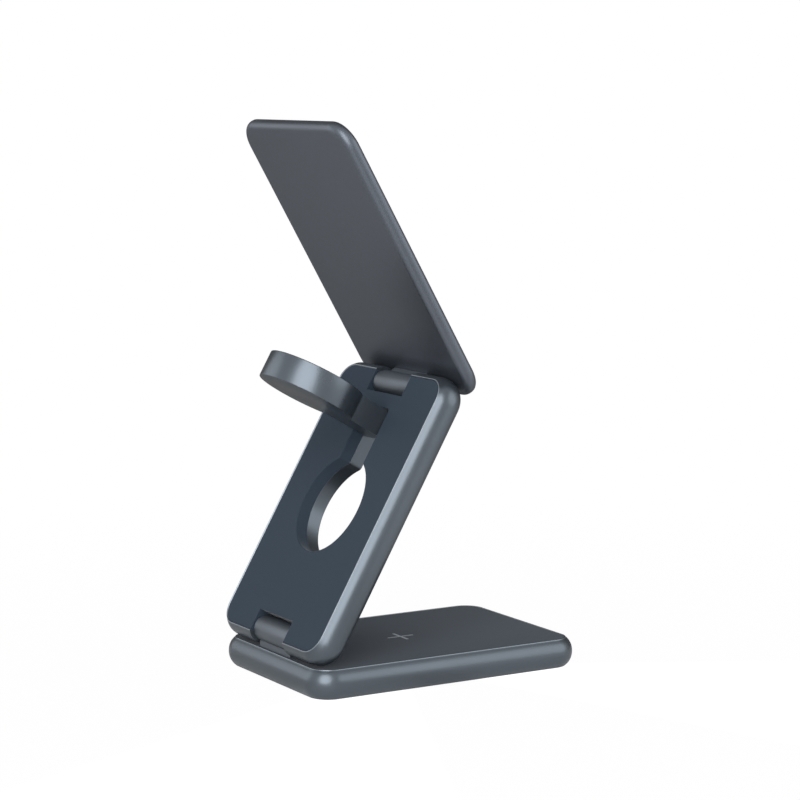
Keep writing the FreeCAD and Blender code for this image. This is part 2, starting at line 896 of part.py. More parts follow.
def watch_board_screws():
    """Two screws of the watch driver board."""
    length = driver_board_top - cavity_floor_z - screw_end_gap
    return Part.makeCompound([screw(x, driver_post_y, driver_board_top, length) for x in driver_post_xs])


def watch_driver_parts():
    """Controller, inductor and small parts on the watch driver board."""
    mid_x = (driver_board_x + driver_board_end) / 2
    row_y = -driver_board_inner_y - inductor_side / 2 - post_edge
    return Part.makeCompound([
        controller(mid_x - controller_side, row_y, driver_board_top),
        inductor(mid_x + inductor_side, row_y, driver_board_top),
        small_part(mid_x, row_y - inductor_side / 3, driver_board_top),
        small_part(mid_x, row_y + inductor_side / 3, driver_board_top),
    ])


# Watch puck, drawn stowed, with its pivot at the origin and the puck towards -X

face_seat_z = half_puck - watch_face_thickness
cup_floor_z = puck_back_wall - half_puck
pedestal_top_z = face_seat_z - coil_gap - watch_coil_thickness - watch_ferrite_thickness


def watch_housing():
    """Turned puck, arm and knuckle in one piece of metal, with the cup for the coil."""
    puck = disc(puck_radius, -half_puck, half_puck, -arm_reach)
    arm = box(-arm_reach, 0.0, -arm_half_width, arm_half_width, -half_puck, half_puck)
    knuckle = bar_y(half_puck, -arm_half_width, arm_half_width, 0.0, 0.0)
    body = puck.fuse([arm, knuckle]).removeSplitter()
    rims = []
    for edge in body.Edges:
        flat = edge.BoundBox.ZMax - edge.BoundBox.ZMin < 1e-6
        at_face = abs(abs(edge.BoundBox.ZMax) - half_puck) < 1e-6
        round_rim = edge.Curve.TypeId == "Part::GeomCircle"
        if flat and at_face and round_rim:
            rims.append(edge)
    body = body.makeFillet(puck_edge_round, rims)
    seat = disc(watch_face_radius, face_seat_z, half_puck + over, -arm_reach)
    cup = disc(puck_cup_radius, cup_floor_z, half_puck, -arm_reach)
    pedestal = ring(
        puck_pedestal_radius,
        watch_magnet_radius + magnet_play,
        cup_floor_z - merge,
        pedestal_top_z,
        -arm_reach,
    )
    body = body.cut(seat).cut(cup).fuse(pedestal)
    reach = arm_half_width + over
    return body.cut(bar_y(watch_pin_radius + pin_clearance, -reach, reach, 0.0, 0.0)).removeSplitter()


def watch_charging_face():
    """Dished face that the watch's back snaps onto."""
    face = disc(watch_face_radius - panel_gap, face_seat_z, half_puck, -arm_reach)
    dish_radius = watch_face_radius - watch_face_lip
    drop = math.sqrt(watch_face_sphere ** 2 - dish_radius ** 2)
    centre = Vector(-arm_reach, 0, half_puck + drop)
    return face.cut(Part.makeSphere(watch_face_sphere, centre))


def watch_coil():
    """Wound coil of the watch charger."""
    top = face_seat_z - coil_gap
    return ring(watch_coil_outer, watch_coil_inner, top - watch_coil_thickness, top, -arm_reach)


def watch_ferrite():
    """Ferrite disc under the watch coil, with a hole for the magnet."""
    return ring(
        watch_ferrite_radius,
        watch_magnet_radius + magnet_play,
        pedestal_top_z,
        pedestal_top_z + watch_ferrite_thickness,
        -arm_reach,
    )


def watch_magnet():
    """Magnet in the middle of the puck."""
    return disc(watch_magnet_radius, cup_floor_z, cup_floor_z + watch_magnet_height, -arm_reach)


# Phone plate, drawn with the phone's face downwards (-z) and its bare metal back upwards

phone_coil_x = plate_length / 2 + phone_coil_shift
magnet_ring_outer = plate_width / 2 - wall_inset - magnet_side_gap
magnet_ring_inner = magnet_ring_outer - magnet_width
phone_ferrite_radius = magnet_ring_inner - phone_ferrite_gap
phone_coil_outer = phone_ferrite_radius - phone_coil_margin
phone_coil_inner = phone_coil_outer - phone_coil_width
phone_board_x = phone_coil_x + magnet_ring_outer + phone_board_gap
phone_board_end = plate_length - wall_inset - phone_board_end_gap
phone_ferrite_under = phone_back_z - phone_ferrite_thickness
phone_coil_under = phone_ferrite_under - phone_coil_thickness
phone_foot_top = phone_back_z
phone_foot_under = phone_foot_top - phone_foot_thickness
phone_screw_xs = (neck_end_x + phone_screw_inset, phone_foot_reach - phone_screw_inset)
phone_screw_depth = phone_wall - phone_screw_skin


def upper_shell():
    """Metal shell of the phone plate, open towards the phone."""
    body = soft_edged_plate(phone_plate_thickness)
    body = body.cut(rim_cut(-half_phone, -1))
    body = body.cut(inset_plate(wall_inset, phone_panel_under_z - over, phone_back_z))
    half = neck_half_width + neck_clearance
    slot = box(
        neck_start_x - neck_clearance,
        neck_end_x + neck_clearance,
        -half,
        half,
        phone_foot_under - neck_clearance,
        half_phone + over,
    )
    body = body.cut(slot)
    for x in phone_screw_xs:
        for side in (-1, 1):
            y = side * lug_screw_y
            body = body.cut(disc(screw_radius, phone_back_z - over, phone_back_z + phone_screw_depth, x, y))
    return body.removeSplitter()


def phone_panel():
    """Soft face that the phone rests against."""
    low = panel_drop - half_phone
    return inset_plate(panel_inset + panel_gap, low, phone_panel_under_z)


def top_hinge_lug():
    """Cast lug of the phone plate: foot inside the shell, neck through its back, barrel."""
    foot = box(
        neck_start_x,
        phone_foot_reach,
        -neck_half_width,
        neck_half_width,
        phone_foot_under,
        phone_foot_top,
    )
    neck = box(
        neck_start_x,
        neck_end_x,
        -neck_half_width,
        neck_half_width,
        phone_foot_under,
        phone_axis_z,
    )
    lug = foot.fuse(neck).fuse(barrel(phone_axis_z)).cut(shaft_bores(phone_axis_z))
    for x in phone_screw_xs:
        for side in (-1, 1):
            y = side * lug_screw_y
            lug = lug.cut(disc(screw_radius + screw_hole_gap, -half_phone, half_phone, x, y))
    return lug.removeSplitter()


def top_lug_screws():
    """Four short screws that hold the phone plate's lug."""
    length = phone_foot_thickness + phone_screw_depth - screw_hole_gap
    return Part.makeCompound([
        screw(x, side * lug_screw_y, phone_foot_under, length, -1)
        for x in phone_screw_xs
        for side in (-1, 1)
    ])


def top_hinge_shafts():
    """Shafts of the upper hinge."""
    return hinge_shafts(phone_axis_z)


def phone_ferrite():
    """Ferrite sheet against the shell's back."""
    return disc(phone_ferrite_radius, phone_ferrite_under, phone_back_z, phone_coil_x)


def phone_coil():
    """Flat wound phone charging coil."""
    return ring(phone_coil_outer, phone_coil_inner, phone_coil_under, phone_ferrite_under, phone_coil_x)


def phone_magnets():
    """Ring of arc magnets that holds the phone in place."""
    step = 360.0 / magnet_count
    solids = []
    for i in range(magnet_count):
        outer = Part.makeCylinder(
            magnet_ring_outer,
            magnet_thickness,
            Vector(0, 0, phone_back_z - magnet_thickness),
            Vector(0, 0, 1),
            step - magnet_gap_angle,
        )
        inner = disc(magnet_ring_inner, -half_plate, half_plate)
        magnet = outer.cut(inner)
        magnet.rotate(Vector(0, 0, 0), Vector(0, 0, 1), i * step)
        magnet.translate(Vector(phone_coil_x, 0, 0))
        solids.append(magnet)
    return Part.makeCompound(solids)


def upper_circuit_board():
    """Small board beside the magnets."""
    return box(
        phone_board_x,
        phone_board_end,
        -phone_board_half_width,
        phone_board_half_width,
        phone_back_z - phone_board_thickness,
        phone_back_z,
    )


def upper_board_parts():
    """Flat parts on the phone plate's board, on its phone side."""
    under = phone_back_z - phone_board_thickness
    mid_x = (phone_board_x + phone_board_end) / 2
    step_y = phone_board_half_width / 3
    return Part.makeCompound([
        controller(mid_x, 0.0, under, -1),
        controller(mid_x, 1.5 * step_y, under, -1),
        small_part(mid_x, -step_y, under, -1),
        small_part(mid_x, -2 * step_y, under, -1),
    ])


def turn_y(shape, degrees, x, z):
    """Turn a shape about an axis along Y through (x, z)."""
    moved = shape.copy()
    moved.rotate(Vector(x, 0, z), Vector(0, 1, 0), degrees)
    return moved


def place_base(shape):
    """Base plate on the table."""
    moved = shape.copy()
    moved.translate(Vector(-plate_length / 2, 0, base_mid_z))
    return moved


def place_middle(shape):
    """Middle plate, leaning over the base at its stand angle."""
    moved = turn_y(shape, -stand_angle, hinge_inset, 0.0)
    moved.translate(Vector(0, 0, base_axis_z))
    return place_base(moved)


def place_upper(shape):
    """Phone plate on the middle plate's far hinge."""
    lifted = turn_y(shape, -(phone_angle - stand_angle), hinge_inset, phone_axis_z)
    lifted.translate(Vector(middle_top_axis_x - hinge_inset, 0, -phone_axis_z))
    return place_middle(lifted)


def place_watch(shape):
    """Watch puck swung out square to the middle plate."""
    swung = turn_y(shape, 90.0, 0.0, 0.0)
    swung.translate(Vector(watch_pivot_x, 0, 0))
    return place_middle(swung)


PIECES = (
    (place_base, (
        base_frame,
        base_top_panel,
        base_foot_pad,
        base_hinge_lug,
        base_lug_screws,
        base_hinge_shafts,
        earbud_coil,
        earbud_ferrite,
        base_circuit_board,
        base_board_screws,
        base_board_parts,
        usb_c_shell,
        usb_c_tongue,
    )),
    (place_middle, (
        middle_frame,
        middle_front_panel,
        lower_hinge_brackets,
        lower_bracket_screws,
        upper_hinge_brackets,
        upper_bracket_screws,
        watch_hinge_pin,
        middle_flat_cable,
        watch_driver_board,
        watch_board_screws,
        watch_driver_parts,
    )),
    (place_watch, (
        watch_housing,
        watch_charging_face,
        watch_coil,
        watch_ferrite,
        watch_magnet,
    )),
    (place_upper, (
        upper_shell,
        phone_panel,
        top_hinge_lug,
        top_lug_screws,
        top_hinge_shafts,
        phone_ferrite,
        phone_coil,
        phone_magnets,
        upper_circuit_board,
        upper_board_parts,
    )),
)


def build():
    """Make every piece in its place and write one STEP file for each."""
    os.makedirs("parts", exist_ok=True)
    for place, makers in PIECES:
        for maker in makers:
            shape = place(maker())
            shape.exportStep(os.path.join("parts", maker.__name__ + ".step"))
            print(maker.__name__, len(shape.Solids), shape.isValid(), round(shape.Volume, 1))


build()
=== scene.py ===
import json
import math

import bmesh
import bpy
from mathutils import Matrix, Vector


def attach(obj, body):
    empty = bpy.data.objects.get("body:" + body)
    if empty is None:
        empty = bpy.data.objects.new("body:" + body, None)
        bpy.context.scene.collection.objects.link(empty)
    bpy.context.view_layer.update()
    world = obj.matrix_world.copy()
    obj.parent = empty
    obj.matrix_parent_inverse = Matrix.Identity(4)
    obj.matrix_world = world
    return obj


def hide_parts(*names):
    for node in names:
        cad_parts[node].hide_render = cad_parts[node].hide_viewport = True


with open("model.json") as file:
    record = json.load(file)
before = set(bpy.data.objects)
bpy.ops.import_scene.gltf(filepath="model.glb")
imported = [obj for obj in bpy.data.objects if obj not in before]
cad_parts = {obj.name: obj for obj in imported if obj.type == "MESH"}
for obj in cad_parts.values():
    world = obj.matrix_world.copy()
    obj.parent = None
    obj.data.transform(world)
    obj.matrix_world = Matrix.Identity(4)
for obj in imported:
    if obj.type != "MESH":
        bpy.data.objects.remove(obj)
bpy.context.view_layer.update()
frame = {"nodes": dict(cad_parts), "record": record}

MM = 0.001

# Sizes in millimetres that the pieces here share with the solids. Each plate is drawn lying flat,
# with X running from its hinge end, Y across and z = 0 on its middle plane.
PLATE_LENGTH = 100.0
PLATE_HALF_WIDTH = 33.5
PLAN_CORNER = 8.8
EDGE_INSET = 2.2            # the flat faces stop this far short of the outline
EDGE_BAND = 0.4             # upright band at the middle of the rounded edge
PLATE_HALF = 4.7            # half the thickness of the base and of the middle plate
PHONE_HALF = 2.4
RIM_WIDTH = 0.45
RIM_CHAMFER = 0.25
PANEL_DEPTH = 1.32          # from the rim down to the ledge under the panel
PANEL_UNDER = PLATE_HALF - PANEL_DEPTH
PANEL_GAP = 0.05
WALL_INSET = 3.6            # inside of the side walls, from the outline
CAVITY_FLOOR = -3.5
FOOT_MARGIN = 1.3
FOOT_RECESS = 0.5
POST_RADIUS = 2.0

# Hinges
HINGE_INSET = 5.2           # hinge axis to the end of each plate
BASE_AXIS = 10.5            # hinge axis over the middle plane of the base
PHONE_AXIS = 8.2            # and over that of the phone plate
TOP_AXIS_X = PLATE_LENGTH - HINGE_INSET
STAND_ANGLE = 60.0
BASE_HEIGHT = 5.1           # middle plane of the base over the table
NOTCH_DEPTH = 10.0
NOTCH_HALF = 11.1
NOTCH_WALL = 1.7
BARREL_RADIUS = 4.3
BARREL_HALF = 10.8
BARREL_ROUND = 0.6
NECK_HALF = 10.1
NECK_START_X = 2.9
NECK_END_X = 7.5
NECK_GAP = 0.15
BASE_FOOT_END = 18.0
BASE_FOOT_HALF = 1.1
BASE_SCREW_XS = (10.7, 14.8)
PHONE_BACK = 1.3            # inner face of the phone plate's back
PHONE_FOOT = 1.2
PHONE_FOOT_END = 17.0
PHONE_SCREW_XS = (10.0, 14.5)
LUG_SCREW_Y = 6.9
LUG_SCREW_HOLE = 0.9
SHAFT_BORE = 1.28
SHAFT_START_Y = 2.97
SHAFT_HOLE = 1.31
SHAFT_HOLE_END_Y = 13.1
BRACKET_START_X = 2.17
BRACKET_YS = (12.8, 24.4)
BRACKET_SCREW_X = 10.43
BRACKET_SCREW_YS = (15.4, 20.8)
BRACKET_POST_TOP = -0.7

# Keyhole and the watch puck on its arm
HOLE_X = 50.0
HOLE_RADIUS = 17.0
SLOT_HALF = 7.55
SLOT_END = 85.0
SLOT_CORNER = 0.6
THROAT_ROUND = 1.5
KEYHOLE_WALL = 1.6
COLLAR_WALL = 1.2           # the panel's collar, which lines the keyhole and the notches
COLLAR_FOOT = 0.15
# At the barrel notches the dark soft-skin collar reaches this deep: partly the panel's lining,
# partly painted shade that darkens the crevice behind the barrel.
BARREL_COLLAR_FOOT = -1.0
WATCH_PIVOT_X = 80.0
PIN_HOLE = 1.03
WATCH_POST_HALF = 3.0
WATCH_POST_YS = (8.9, 11.9)
WATCH_POST_TOP = 2.9
WATCH_BOARD_XS = (69.6, 83.4)
WATCH_BOARD_Y = -25.0
WATCH_BOARD_POST_TOP = -2.3
ARM_REACH = 30.0
ARM_HALF = 7.2
PUCK_RADIUS = 16.3
PUCK_HALF = 4.4
PUCK_ROUND = 0.3
FACE_RADIUS = 14.8
FACE_SEAT = 2.8
CUP_RADIUS = 13.4
CUP_FLOOR = -3.3
PEDESTAL_RADIUS = 8.0
PEDESTAL_TOP = 0.45
MAGNET_HOLE = 3.9

# Base: earbud spot, board and socket
EARBUD_X = 50.0
PLUS_SPAN = 9.6
PLUS_BAR = 1.0
PLUS_FLOOR = 4.46
COIL_RING_OUTER = 14.0
COIL_RING_INNER = 12.5
COIL_RING_TOP = 1.53
BOARD_SCREW_XS = (73.6, 93.2)
BOARD_SCREW_Y = 21.4
BOARD_POST_TOP = -2.38
MOUTH_HALF_WIDTH = 4.62
MOUTH_HALF_HEIGHT = 1.73
SOCKET_END_X = 99.1
SOCKET_LENGTH = 7.3
TONGUE_BLOCK = 1.9          # thick root of the socket's tongue

# Forms that only the scene has
LIP_HEIGHT = 0.16           # raised outer edge of each rim, which catches a thin line of light
LIP_SLANT = 0.06
NOTCH_LIP = 0.32            # lower lip of the notches, which closes the slit beside the barrel
NOTCH_LIP_TOP = -1.5
INK_THICKNESS = 0.11
CONTACT_COUNT = 12
CONTACT_SIZE = (3.6, 0.26, 0.04)
CONTACT_PITCH = 0.5
CONTACT_HEIGHT = 0.36       # from the tongue's middle plane
CONTACT_MARGIN = 0.6

# Reach of cutters and roots of joined solids
THROUGH = 6.0               # half the height of a cutter that goes right through a plate
PAST = 1.0                  # a cutter runs this far past the face that it opens
ROOT = 0.1                  # a joined solid starts this far inside the one that it stands on
SUNK = CAVITY_FLOOR - ROOT
MEDIUM, FINE, FINEST = 64, 128, 160     # sides of the larger round forms

# Studio, with lengths in metres. Level directions from the charger: to the room's darker side,
# behind the charger and to its right, and to the two lamps in front of it.
DARK_SIDE = (0.574, 0.819, 0.0)
KEY_SIDE = (-0.719, -0.695, 0.0)
FILL_SIDE = (0.643, -0.766, 0.0)
# Strengths of light, where 1 is white. The camera itself sees white all round the charger.
SKY_SHED = 0.22             # light that the room sheds on the charger
SKY_SEEN = 0.7              # the room as the metal reflects it
SKY_SEEN_DARK = 0.12
# For reflections the floor glows at these levels, which are painted light: darker on the studio's
# dark side, with painted pools of lamp light under the front lamps.
FLOOR_SEEN = 0.62           # the floor as the metal reflects it
FLOOR_SEEN_DARK = 0.2
PAINTED_LAMP_POOLS = ((KEY_SIDE, 0.55), (FILL_SIDE, 0.6))   # added to the floor under the front lamps
# Name of each lamp, its direction from the charger, its width and height and its watts.
SOFTBOXES = (
    ("key_softbox", (-0.628, -0.673, 0.391), 1.05, 1.7, 13.0),
    ("fill_softbox", (0.664, -0.664, 0.342), 1.05, 1.05, 3.1),
    ("back_softbox", (-0.615, 0.733, 0.292), 1.0, 1.0, 2.1),
)
LAMP_TARGET = (-0.02, 0.0, 0.08)
LAMP_DISTANCE = 1.2
FLOOR_HALF = 6.0
CAMERA_PLACE = (-0.417413, -0.698010, 0.192119)
CAMERA_TURN = (30.865, 7.259, -0.05)                # yaw, downward pitch and roll in degrees
CAMERA_LENS = 112.83


def turn_about(x, z, degrees):
    """Turn about a line along Y through (x, z)."""
    there = Matrix.Translation((x, 0.0, z))
    return there @ Matrix.Rotation(math.radians(degrees), 4, "Y") @ there.inverted()


ON_BASE = Matrix.Translation((-PLATE_LENGTH / 2, 0.0, BASE_HEIGHT))
ON_MIDDLE = (
    ON_BASE
    @ Matrix.Translation((0.0, 0.0, BASE_AXIS))
    @ turn_about(HINGE_INSET, 0.0, -STAND_ANGLE)
)
ON_UPPER = (
    ON_MIDDLE
    @ Matrix.Translation((TOP_AXIS_X - HINGE_INSET, 0.0, -PHONE_AXIS))
    @ turn_about(HINGE_INSET, PHONE_AXIS, -STAND_ANGLE)
)
ON_WATCH = ON_MIDDLE @ Matrix.Translation((WATCH_PIVOT_X, 0.0, 0.0)) @ turn_about(0.0, 0.0, 90.0)


# Materials


def tint(code):
    """Turns an sRGB hex value to the linear colour that a shader takes."""
    channels = [int(code[i:i + 2], 16) / 255 for i in (1, 3, 5)]
    linear = [c / 12.92 if c <= 0.04045 else ((c + 0.055) / 1.055) ** 2.4 for c in channels]
    return (*linear, 1.0)


def put(tree, kind, sockets=None, **settings):
    """Adds a node with its settings and its socket values or links."""
    node = tree.nodes.new(kind)
    for name, value in settings.items():
        setattr(node, name, value)
    for name, value in (sockets or {}).items():
        if isinstance(value, bpy.types.NodeSocket):
            tree.links.new(value, node.inputs[name])
        else:
            node.inputs[name].default_value = value
    return node


def blank_material(name):
    """New material with an empty node tree."""
    material = bpy.data.materials.new(name)
    material.use_nodes = True
    material.node_tree.nodes.clear()
    return material, material.node_tree


def satin_metal(
    name, dark, light, roughness, grit_mm, depth_mm, edge_mm=0.15, bare=1.0, worn_and_lit_edge="#8E959B"
):
    """Metal with a blasted grain, cloudy differences in gloss and broken edges, lightened as slight
    wear and as a painted edge highlight.

    A share of bare metal below 1 leaves some of the matt shade of a dyed or lacquered skin.
    """
    material, tree = blank_material(name)
    place = put(tree, "ShaderNodeTexCoord").outputs["Object"]
    cloud, grit, patch = (
        put(tree, "ShaderNodeTexNoise", {
            "Vector": place, "Scale": 1.0 / (size_mm * MM), "Detail": detail, "Roughness": rough,
        }).outputs["Fac"]
        for size_mm, detail, rough in ((14.0, 3.0, 0.5), (grit_mm, 2.0, 0.6), (1.6, 2.0, 0.5))
    )
    broken = put(tree, "ShaderNodeBevel", {"Radius": edge_mm * MM}, samples=6).outputs["Normal"]
    bump = put(tree, "ShaderNodeBump", {
        "Height": grit, "Strength": 0.5, "Distance": depth_mm * MM, "Normal": broken,
    })
    flat = put(tree, "ShaderNodeNewGeometry").outputs["Normal"]
    turn = put(tree, "ShaderNodeVectorMath", {0: broken, 1: flat}, operation="DOT_PRODUCT")
    # Edges turn towards the lighter worn colour: partly wear, partly a painted edge highlight.
    edge = put(tree, "ShaderNodeMapRange", {
        "Value": turn.outputs["Value"],
        "From Min": 0.75, "From Max": 0.97, "To Min": 0.6, "To Max": 0.0,
    })
    uneven = put(tree, "ShaderNodeMapRange", {"Value": patch, "From Min": 0.3, "From Max": 0.7})
    scuffed_and_lit = put(tree, "ShaderNodeMath", {
        0: edge.outputs[0], 1: uneven.outputs[0],
    }, operation="MULTIPLY")
    sound = put(tree, "ShaderNodeMix", {
        "Factor": cloud, 6: tint(dark), 7: tint(light),
    }, data_type="RGBA")
    shade = put(tree, "ShaderNodeMix", {
        "Factor": scuffed_and_lit.outputs[0], 6: sound.outputs[2], 7: tint(worn_and_lit_edge),
    }, data_type="RGBA")
    gloss = put(tree, "ShaderNodeMapRange", {
        "Value": cloud, "From Min": 0.3, "From Max": 0.7,
        "To Min": roughness - 0.03, "To Max": roughness + 0.04,
    })
    shader = put(tree, "ShaderNodeBsdfPrincipled", {
        "Base Color": shade.outputs[2],
        "Metallic": bare,
        "Roughness": gloss.outputs[0],
        "Normal": bump.outputs["Normal"],
    })
    put(tree, "ShaderNodeOutputMaterial", {"Surface": shader.outputs["BSDF"]})
    return material


def smooth_solid(
    name, dark, light, roughness, grain_mm, depth_mm, specular=0.5, cloud_mm=9.0, bloom=0.0
):
    """Moulded, painted or fired surface with a fine grain and slight differences in shade.

    The bloom is the pale veil that a rubbery lacquer shows where it is seen from the side.
    """
    material, tree = blank_material(name)
    place = put(tree, "ShaderNodeTexCoord").outputs["Object"]
    cloud, grain = (
        put(tree, "ShaderNodeTexNoise", {
            "Vector": place, "Scale": 1.0 / (size_mm * MM), "Detail": detail, "Roughness": rough,
        }).outputs["Fac"]
        for size_mm, detail, rough in ((cloud_mm, 3.0, 0.5), (grain_mm, 2.0, 0.6))
    )
    broken = put(tree, "ShaderNodeBevel", {"Radius": 0.15 * MM}, samples=4).outputs["Normal"]
    bump = put(tree, "ShaderNodeBump", {
        "Height": grain, "Strength": 0.5, "Distance": depth_mm * MM, "Normal": broken,
    })
    shade = put(tree, "ShaderNodeMix", {
        "Factor": cloud, 6: tint(dark), 7: tint(light),
    }, data_type="RGBA")
    gloss = put(tree, "ShaderNodeMapRange", {
        "Value": cloud, "From Min": 0.3, "From Max": 0.7,
        "To Min": roughness - 0.05, "To Max": roughness + 0.05,
    })
    shader = put(tree, "ShaderNodeBsdfPrincipled", {
        "Base Color": shade.outputs[2],
        "Roughness": gloss.outputs[0],
        "Specular IOR Level": specular,
        "Sheen Weight": bloom,
        "Sheen Roughness": 0.35,
        "Normal": bump.outputs["Normal"],
    })
    put(tree, "ShaderNodeOutputMaterial", {"Surface": shader.outputs["BSDF"]})
    return material


# Bead-blasted and anodised aluminium: satin blue-grey with a fine even grain and soft, wide
# highlights. The grain is drawn coarser than the real 0.1 mm pits so that it shows.
ANODISED = satin_metal(
    "anodised_aluminium", "#616970", "#666E76",
    roughness=0.32, grit_mm=0.3, depth_mm=0.006, bare=0.8,
)
# The same aluminium on the phone plate's broad back, blasted a little duller, with its colour
# painted a little lighter than the plates' as painted light on the back: an even grey.
ANODISED_BACK_PAINTED_LIGHTER = satin_metal(
    "anodised_aluminium_back_painted_lighter", "#646A73", "#696F78",
    roughness=0.40, grit_mm=0.3, depth_mm=0.006, bare=0.8,
)
# Diamond-cut aluminium: the lighter, sharper line that a cutter leaves round each panel.
CUT_EDGE = satin_metal(
    "diamond_cut_aluminium", "#868E96", "#939BA3",
    roughness=0.40, grit_mm=0.2, depth_mm=0.002, edge_mm=0.02,
)
# Turned and anodised aluminium of the puck: the same blue-grey, a little glossier, so that the
# round wall shows a clear upright streak of light.
TURNED = satin_metal(
    "turned_anodised_aluminium", "#626A72", "#687078",
    roughness=0.30, grit_mm=0.25, depth_mm=0.004, bare=0.8,
)
# Zinc casting, sprayed with a grey lacquer that holds metal flake: duller and slightly pebbled.
CAST_ZINC = satin_metal(
    "lacquered_zinc_casting", "#646B73", "#6B727A",
    roughness=0.42, grit_mm=0.35, depth_mm=0.010, bare=0.7,
)
# Ground steel of the hinge shafts: bright, with a narrow highlight.
SHAFT_STEEL = satin_metal(
    "ground_shaft_steel", "#A6A6A4", "#B4B4B1", roughness=0.22, grit_mm=0.15, depth_mm=0.002
)
# Screws with a black oxide skin: nearly black, with a dull shine on the heads.
SCREW_STEEL = satin_metal(
    "blackened_screw_steel", "#3B3C3E", "#48494B", roughness=0.35, grit_mm=0.2, depth_mm=0.004
)
# Stainless sheet, deep-drawn into the socket's shell: pale and smooth.
SOCKET_STEEL = satin_metal(
    "drawn_stainless_socket", "#ACAEB0", "#B9BBBD", roughness=0.24, grit_mm=0.2, depth_mm=0.002
)
# Gold plating on the socket's contacts: a warm yellow glint inside the socket.
CONTACT_GOLD = satin_metal(
    "gold_plated_contact", "#C79A45", "#D6AA55",
    roughness=0.20, grit_mm=0.1, depth_mm=0.001, edge_mm=0.01,
)
# Nickel plating on pressed magnets: a warm, mirror-like silver.
NICKEL = satin_metal(
    "nickel_plated_magnet", "#B5AFA3", "#C4BEB2", roughness=0.18, grit_mm=0.4, depth_mm=0.003
)
# Enamelled copper strands, wound flat: brown copper with a ripple as wide as a strand.
COPPER = satin_metal(
    "wound_copper_strands", "#9A5A2E", "#B87340", roughness=0.30, grit_mm=0.25, depth_mm=0.02
)
# Soft-touch lacquer, sprayed over the panels: matt slate blue with a very fine pebble, and a grey
# veil where it is seen from the side. The pebble is drawn coarser than the real 0.1 mm.
SOFT_SKIN = smooth_solid(
    "soft_touch_lacquer", "#384450", "#3D4956",
    roughness=0.75, grain_mm=0.35, depth_mm=0.010, specular=0.1, cloud_mm=20.0, bloom=0.2,
)
# Moulded silicone of the foot pad: black, dull and slightly grainy.
RUBBER = smooth_solid(
    "moulded_silicone_pad", "#1D1E20", "#242527",
    roughness=0.80, grain_mm=0.6, depth_mm=0.020, specular=0.3,
)
# Polycarbonate, moulded in a fine-textured tool: the watch's charging face, a dark satin disc.
DISH = smooth_solid(
    "moulded_polycarbonate_face", "#2A2D31", "#303338",
    roughness=0.42, grain_mm=0.5, depth_mm=0.004, specular=0.4,
)
# Glass-filled nylon, moulded: the socket's black tongue.
INSULATOR = smooth_solid(
    "moulded_nylon_tongue", "#101113", "#16171A", roughness=0.45, grain_mm=0.4, depth_mm=0.004
)
# Ferrite, pressed and fired: charcoal grey and dull as a stone.
FERRITE = smooth_solid(
    "fired_ferrite_sheet", "#26272A", "#303136", roughness=0.62, grain_mm=0.4, depth_mm=0.008
)
# Glass-fibre board under green solder mask: glossy, with the weave just showing through.
BOARD = smooth_solid(
    "masked_glass_fibre_board", "#0E3B22", "#14482B", roughness=0.35, grain_mm=0.8, depth_mm=0.008
)
# Filled epoxy, moulded round the chips: nearly black and slightly rough.
CHIP = smooth_solid(
    "moulded_epoxy_chip", "#151617", "#1F2022", roughness=0.50, grain_mm=0.2, depth_mm=0.006
)
# Polyimide film round flat copper: an amber, slightly wavy ribbon.
CABLE_FILM = smooth_solid(
    "laminated_polyimide_cable", "#8A5418", "#9C6220",
    roughness=0.38, grain_mm=1.2, depth_mm=0.006,
)
# Pad-printed ink of the plus mark: pale grey, matt, a little uneven.
INK = smooth_solid(
    "pad_printed_ink", "#B4BBC1", "#C0C7CC",
    roughness=0.6, grain_mm=0.2, depth_mm=0.003, specular=0.3,
)


LOOKS = {
    "plate_metal": ANODISED,
    "phone_shell_metal": ANODISED_BACK_PAINTED_LIGHTER,
    "puck_metal": TURNED,
    "hinge_metal": CAST_ZINC,
    "soft_panel": SOFT_SKIN,
    "foot_rubber": RUBBER,
    "charging_face": DISH,
    "shaft_steel": SHAFT_STEEL,
    "screw_steel": SCREW_STEEL,
    "socket_steel": SOCKET_STEEL,
    "socket_insulator": INSULATOR,
    "coil_wire": COPPER,
    "ferrite": FERRITE,
    "magnet_nickel": NICKEL,
    "circuit_board": BOARD,
    "board_parts": CHIP,
    "flat_cable": CABLE_FILM,
}
slots = {entry["node"]: entry["material_slot"] for entry in frame["record"]["subparts"]}
for name, node in frame["nodes"].items():
    node.data.materials.clear()
    node.data.materials.append(LOOKS[slots[name]])


# Pieces, drawn in millimetres in the frame of their plate


def finish(bm, name, body, materials, place, stands_for=()):
    """Turns a drawn mesh into a piece in its place, riding on its body."""
    bmesh.ops.transform(bm, matrix=Matrix.Scale(MM, 4) @ place, verts=bm.verts)
    mesh = bpy.data.meshes.new(name)
    bm.to_mesh(mesh)
    bm.free()
    for material in materials:
        mesh.materials.append(material)
    mesh.shade_smooth()
    mesh.set_sharp_from_angle(angle=math.radians(30.0))
    piece = bpy.data.objects.new(name, mesh)
    bpy.context.scene.collection.objects.link(piece)
    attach(piece, body)
    if stands_for:
        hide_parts(*stands_for)


def block(x0, x1, y0, y1, z0, z1):
    """Plain block between two corners, for a wall or a cutter."""
    bm = bmesh.new()
    bmesh.ops.create_cube(bm, size=1.0)
    bmesh.ops.scale(bm, vec=(x1 - x0, y1 - y0, z1 - z0), verts=bm.verts)
    middle = ((x0 + x1) / 2, (y0 + y1) / 2, (z0 + z1) / 2)
    bmesh.ops.translate(bm, vec=middle, verts=bm.verts)
    return bm


